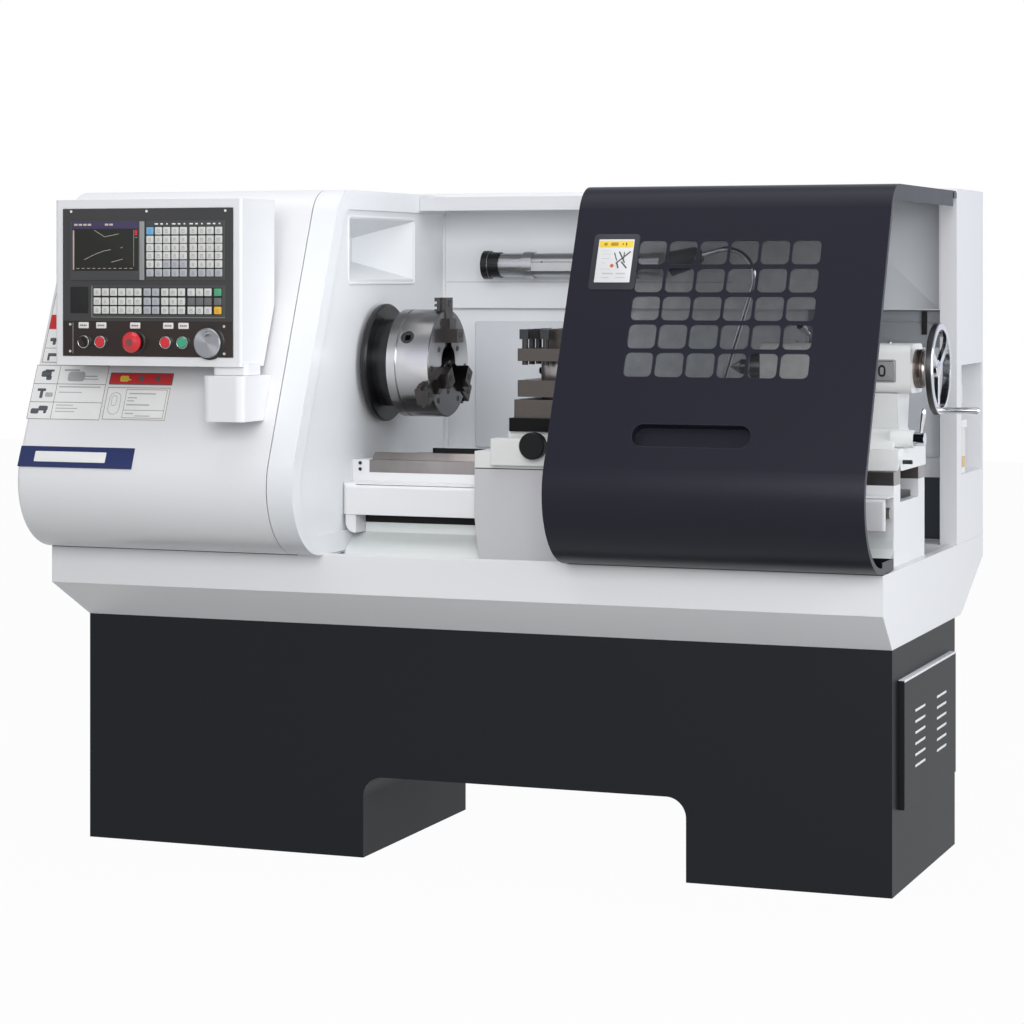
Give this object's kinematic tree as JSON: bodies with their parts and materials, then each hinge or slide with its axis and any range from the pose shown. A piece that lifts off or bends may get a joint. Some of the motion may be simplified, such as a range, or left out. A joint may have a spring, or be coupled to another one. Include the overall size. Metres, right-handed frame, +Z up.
{
  "type": "cnc turning lathe",
  "caption": "Flat-bed turning lathe on a sheet-metal stand, with a jaw chuck, tool turret, tailstock, sliding windowed guard and swivelling control panel.",
  "frame": {"origin": "on the floor, under the middle of the machine's outline", "axes": "+X along the spindle axis from the headstock to the tailstock, +Y to the rear, +Z up"},
  "size_m": [2.1064, 1.2976, 1.521],
  "materials": {
    "alloy": "satin",
    "black_oxide": "satin",
    "black_plastic": "matte",
    "black_rubber": "matte",
    "bright_chrome": "polished",
    "cream_casting": "satin",
    "door_enamel": "satin",
    "green_plastic": "gloss",
    "grey_black_enamel": "satin",
    "grey_plastic": "matte",
    "machined_steel": "brushed",
    "pale_green_sheet": "satin",
    "raw_casting": "matte",
    "red_plastic": "gloss",
    "smoked_pane": "polished",
    "tool_steel": "satin",
    "white_enamel": "satin"
  },
  "bodies": {
    "machine_frame": {"stand": "grey_black_enamel", "end_louvre_cover": "grey_black_enamel", "chip_tray": "white_enamel", "chip_slide": "pale_green_sheet", "bed": "white_enamel", "bed_ways": "machined_steel", "headstock_casting": "raw_casting", "spindle_bearings": "machined_steel", "main_motor": "raw_casting", "drive_belt": "black_rubber", "headstock_cover": "white_enamel", "bulkhead": "white_enamel", "rear_housing": "white_enamel", "rear_wall": "white_enamel", "canopy": "white_enamel", "tube_lamp": "alloy", "gooseneck": "bright_chrome", "lamp_head": "black_oxide", "screw_cover": "white_enamel", "feed_screw": "machined_steel", "door_rails": "machined_steel", "lubricator": "grey_plastic", "outlet_box": "grey_plastic", "panel_arm": "white_enamel"},
    "spindle_group": {"spindle": "machined_steel", "chuck_backplate": "black_oxide", "chuck_body": "machined_steel", "spindle_pulley": "raw_casting"},
    "motor_pulley_group": {"motor_pulley": "raw_casting"},
    "jaw_1": {"chuck_jaw_1": "tool_steel"},
    "jaw_2": {"chuck_jaw_2": "tool_steel"},
    "jaw_3": {"chuck_jaw_3": "tool_steel"},
    "pinion_1": {"chuck_pinion_1": "black_oxide"},
    "pinion_2": {"chuck_pinion_2": "black_oxide"},
    "pinion_3": {"chuck_pinion_3": "black_oxide"},
    "carriage": {"saddle": "cream_casting", "apron": "white_enamel", "feed_cap": "black_plastic"},
    "cross_slide_group": {"cross_slide": "cream_casting", "turret_base": "tool_steel"},
    "turret": {"tool_holder": "tool_steel", "tool_clamp_bolts": "black_oxide"},
    "tailstock": {"tailstock_body": "cream_casting", "tailstock_flange": "alloy"},
    "quill": {"tailstock_quill": "machined_steel"},
    "handwheel": {"tailstock_handwheel": "bright_chrome"},
    "handle": {"handwheel_handle": "bright_chrome"},
    "lock_lever": {"quill_lock_lever": "bright_chrome"},
    "clamp_lever": {"tailstock_clamp_lever": "bright_chrome"},
    "door": {"door_shell": "door_enamel", "door_pane": "smoked_pane"},
    "control_panel": {"panel_housing": "white_enamel", "panel_fascia": "black_plastic"},
    "selector": {"mode_selector": "black_plastic"},
    "feed_hold": {"feed_hold_button": "red_plastic"},
    "stop": {"stop_button": "red_plastic"},
    "power_off": {"power_off_button": "red_plastic"},
    "cycle_start": {"cycle_start_button": "green_plastic"},
    "pulse": {"pulse_wheel": "alloy"},
    "cabinet": {"cabinet_door": "white_enamel"}
  },
  "joints": [
    {"name": "spindle_turn", "type": "hinge", "parent": "machine_frame", "child": "spindle_group", "pos_m": [-0.19215, -0.0915, 1.114], "axis": [1, 0, 0], "continuous": true},
    {"name": "motor_turn", "type": "hinge", "parent": "machine_frame", "child": "motor_pulley_group", "pos_m": [-0.97515, 0.1635, 1.01], "axis": [1, 0, 0], "continuous": true},
    {"name": "jaw_1_slide", "type": "slide", "parent": "spindle_group", "child": "jaw_1", "axis": [0, 0, 1], "range_m": [-0.026, 0]},
    {"name": "jaw_2_slide", "type": "slide", "parent": "spindle_group", "child": "jaw_2", "axis": [0, -0.866, -0.5], "range_m": [-0.026, 0]},
    {"name": "jaw_3_slide", "type": "slide", "parent": "spindle_group", "child": "jaw_3", "axis": [0, 0.866, -0.5], "range_m": [-0.026, 0]},
    {"name": "pinion_1_turn", "type": "hinge", "parent": "spindle_group", "child": "pinion_1", "pos_m": [-0.25015, -0.19975, 1.1765], "axis": [0, -0.866, 0.5], "range_deg": [0, 2340]},
    {"name": "pinion_2_turn", "type": "hinge", "parent": "spindle_group", "child": "pinion_2", "pos_m": [-0.25015, -0.0915, 0.989], "axis": [0, 0, -1], "range_deg": [0, 2340]},
    {"name": "pinion_3_turn", "type": "hinge", "parent": "spindle_group", "child": "pinion_3", "pos_m": [-0.25015, 0.01675, 1.1765], "axis": [0, 0.866, 0.5], "range_deg": [0, 2340]},
    {"name": "carriage_slide", "type": "slide", "parent": "machine_frame", "child": "carriage", "axis": [1, 0, 0], "range_m": [-0.175, 0.06]},
    {"name": "cross_slide_travel", "type": "slide", "parent": "carriage", "child": "cross_slide_group", "axis": [0, 1, 0], "range_m": [0, 0.13]},
    {"name": "turret_index", "type": "hinge", "parent": "cross_slide_group", "child": "turret", "pos_m": [0.13485, -0.2015, 1.084], "axis": [0, 0, 1], "continuous": true},
    {"name": "tailstock_slide", "type": "slide", "parent": "machine_frame", "child": "tailstock", "axis": [1, 0, 0], "range_m": [-0.06, 0]},
    {"name": "handwheel_turn", "type": "hinge", "parent": "tailstock", "child": "handwheel", "pos_m": [0.94115, -0.0915, 1.114], "axis": [-1, 0, 0], "range_deg": [0, 3600]},
    {"name": "quill_feed", "type": "slide", "parent": "tailstock", "child": "quill", "axis": [-1, 0, 0], "range_m": [0, 0.05]},
    {"name": "handle_spin", "type": "hinge", "parent": "handwheel", "child": "handle", "pos_m": [0.97315, -0.07206, 1.02254], "axis": [1, 0, 0], "continuous": true},
    {"name": "quill_lock_turn", "type": "hinge", "parent": "tailstock", "child": "lock_lever", "pos_m": [0.68085, -0.0915, 1.169], "axis": [0, 0, 1], "range_deg": [-30, 45]},
    {"name": "clamp_lever_turn", "type": "hinge", "parent": "tailstock", "child": "clamp_lever", "pos_m": [0.92685, -0.1615, 0.963], "axis": [1, 0, 0], "range_deg": [0, 60]},
    {"name": "door_slide", "type": "slide", "parent": "machine_frame", "child": "door", "axis": [-1, 0, 0], "range_m": [0, 0.575]},
    {"name": "panel_swivel", "type": "hinge", "parent": "machine_frame", "child": "control_panel", "pos_m": [-0.50415, -0.5685, 1.098], "axis": [0, 0, 1], "range_deg": [0, 30]},
    {"name": "selector_turn", "type": "hinge", "parent": "control_panel", "child": "selector", "pos_m": [-0.85826, -0.6165, 1.17], "axis": [0, 1, 0], "range_deg": [0, 80]},
    {"name": "feed_hold_press", "type": "slide", "parent": "control_panel", "child": "feed_hold", "axis": [0, 1, 0], "range_m": [0, 0.003], "stiffness_N_per_m": 400},
    {"name": "stop_press", "type": "slide", "parent": "control_panel", "child": "stop", "axis": [0, 1, 0], "range_m": [0, 0.003], "stiffness_N_per_m": 400},
    {"name": "power_off_press", "type": "slide", "parent": "control_panel", "child": "power_off", "axis": [0, 1, 0], "range_m": [0, 0.003], "stiffness_N_per_m": 400},
    {"name": "cycle_start_press", "type": "slide", "parent": "control_panel", "child": "cycle_start", "axis": [0, 1, 0], "range_m": [0, 0.003], "stiffness_N_per_m": 400},
    {"name": "pulse_turn", "type": "hinge", "parent": "control_panel", "child": "pulse", "pos_m": [-0.54704, -0.6165, 1.17], "axis": [0, 1, 0], "continuous": true},
    {"name": "cabinet_hinge", "type": "hinge", "parent": "machine_frame", "child": "cabinet", "pos_m": [-0.73915, 0.6198, 0.78], "axis": [0, 0, 1], "range_deg": [0, 110]}
  ],
  "couplings": [
    {"joint": "motor_turn", "follows": "spindle_turn", "ratio": 1.6667},
    {"joint": "quill_feed", "follows": "handwheel_turn", "m_per_rad": 0.00079577},
    {"joint": "jaw_2_slide", "follows": "jaw_1_slide", "ratio": 1},
    {"joint": "jaw_3_slide", "follows": "jaw_1_slide", "ratio": 1},
    {"joint": "pinion_1_turn", "follows": "jaw_1_slide", "rad_per_m": -1570.8},
    {"joint": "pinion_2_turn", "follows": "jaw_1_slide", "rad_per_m": -1570.8},
    {"joint": "pinion_3_turn", "follows": "jaw_1_slide", "rad_per_m": -1570.8}
  ]
}
